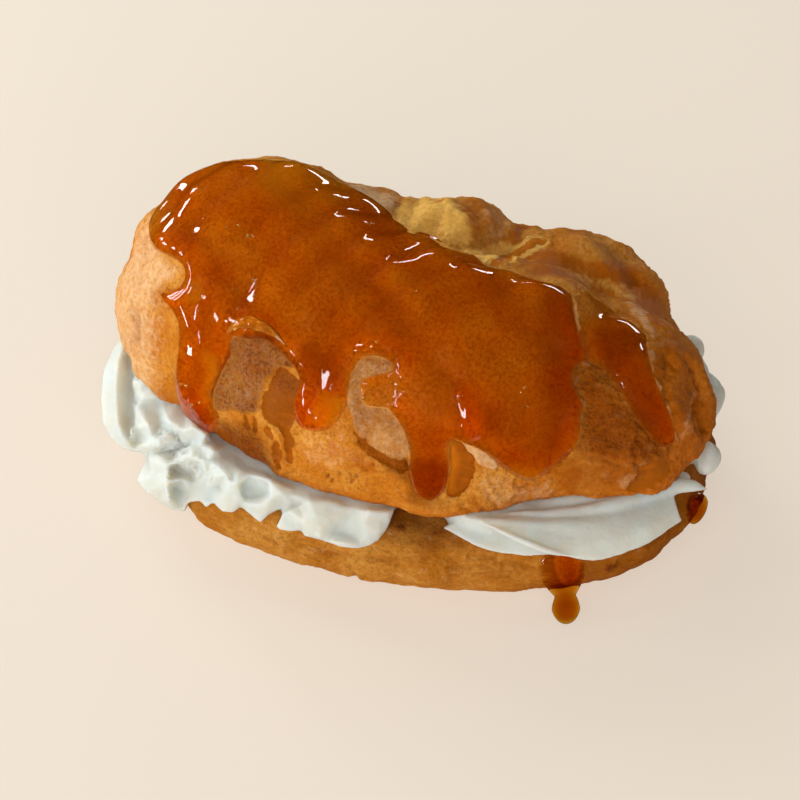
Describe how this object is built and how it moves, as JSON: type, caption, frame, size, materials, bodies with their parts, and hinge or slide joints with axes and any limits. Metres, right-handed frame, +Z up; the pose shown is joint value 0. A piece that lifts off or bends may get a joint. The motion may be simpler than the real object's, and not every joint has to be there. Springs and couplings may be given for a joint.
{
  "type": "cream puff",
  "caption": "Oblong choux bun split and filled with piped cream, its lobed lid coated in poured caramel with tongues and drips.",
  "frame": {"origin": "on the flat foot of the base, under the middle of the bun's length", "axes": "+X along the bun towards its right end as shown, -Y towards the side with the caramel tongues, +Z up"},
  "size_m": [0.1259, 0.0835, 0.0632],
  "materials": {
    "base_crust": "baked choux crust, uneven tan and brown, satin",
    "lid_crust": "baked choux crust, pale tan skin with smooth amber stretch marks, satin",
    "cream": "whipped cream, soft white",
    "caramel": "clear amber caramel, high gloss",
    "caramel_run": "clear amber caramel, high gloss"
  },
  "bodies": {
    "root": {"base": "base_crust", "lid": "lid_crust", "cream": "cream", "caramel_coat": "caramel", "caramel_run_front": "caramel_run", "caramel_run_side": "caramel_run"}
  },
  "joints": []
}
